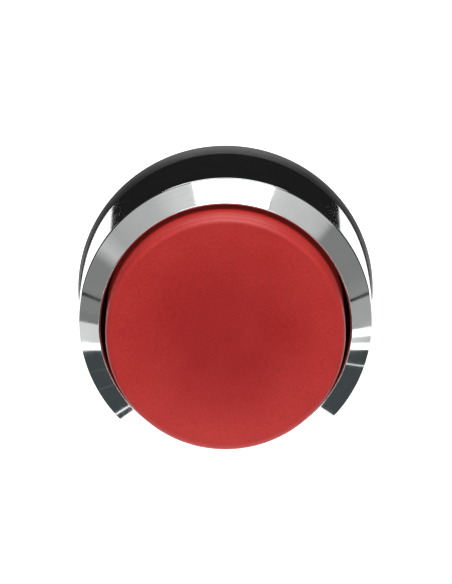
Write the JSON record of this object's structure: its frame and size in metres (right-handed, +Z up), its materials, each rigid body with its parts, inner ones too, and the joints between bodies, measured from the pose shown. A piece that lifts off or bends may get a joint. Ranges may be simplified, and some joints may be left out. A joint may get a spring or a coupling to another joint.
{
  "type": "industrial push button",
  "caption": "Round panel push button with a projecting red cap, chrome bezel, panel gasket, threaded barrel, ring nut and rear screw terminals.",
  "frame": {"origin": "centre of the gasket's rear face, the plane that rests on the panel's front", "axes": "the button's axis runs along Y: +Y goes back through the panel, -Y is the side a finger presses, +Z is up"},
  "size_m": [0.0302, 0.048, 0.0302],
  "materials": {
    "chrome_plate": "bright plating, turned bevel, polished wall",
    "gasket_rubber": "moulded, matt",
    "seal_rubber": "moulded, slightly shiny",
    "red_plastic": "satin, finely textured",
    "black_plastic": "glass-filled moulding, matt",
    "pale_acetal": "moulded acetal, satin",
    "bush_acetal": "moulded acetal, satin",
    "plated_steel": "zinc plated",
    "spring_steel": "drawn wire, bright",
    "nut_metal": "nickel plated, cast",
    "strip_brass": "stamped and tinned edge",
    "bridge_copper": "stamped copper alloy",
    "contact_silver": "silver rivet"
  },
  "bodies": {
    "housing": {"bezel_ring": "chrome_plate", "panel_gasket": "gasket_rubber", "bezel_oring": "seal_rubber", "threaded_barrel": "black_plastic", "spring_seat": "plated_steel", "lip_seal": "seal_rubber", "guide_bush": "bush_acetal", "terminal_base": "black_plastic", "nc_contact_left": "strip_brass", "nc_contact_right": "strip_brass", "no_contact_left": "strip_brass", "no_contact_right": "strip_brass", "fixed_contact_tips": "contact_silver", "terminal_clamps": "plated_steel", "terminal_screws": "plated_steel", "return_spring": "spring_steel"},
    "button": {"button_cap": "red_plastic", "cap_carrier": "pale_acetal", "carrier_screw": "plated_steel", "plunger": "pale_acetal", "plunger_clip": "spring_steel", "contact_spring_front": "spring_steel", "contact_spring_rear": "spring_steel"},
    "bridge": {"contact_bridge": "bridge_copper", "bridge_contact_tips": "contact_silver"},
    "washer": {"lock_washer": "plated_steel"},
    "nut": {"lock_nut": "nut_metal"}
  },
  "joints": [
    {"name": "button_press", "type": "slide", "parent": "housing", "child": "button", "axis": [0, 1, 0], "range_m": [0, 0.0035], "stiffness_N_per_m": 1000, "springref_m": -0.0045, "deforming": ["return_spring", "contact_spring_front", "contact_spring_rear"]},
    {"name": "bridge_float", "type": "slide", "parent": "button", "child": "bridge", "axis": [0, 1, 0], "range_m": [-0.0007, 0]},
    {"name": "washer_slide", "type": "slide", "parent": "housing", "child": "washer", "axis": [0, 1, 0], "range_m": [-0.002, 0.003]},
    {"name": "nut_turn", "type": "hinge", "parent": "washer", "child": "nut", "pos_m": [0, 0.006, 0], "axis": [0, 1, 0], "range_deg": [-480, 720]}
  ],
  "couplings": [
    {"joint": "bridge_float", "follows": "button_press", "ratio": -0.2},
    {"joint": "washer_slide", "follows": "nut_turn", "m_per_rad": 0.00023873}
  ]
}
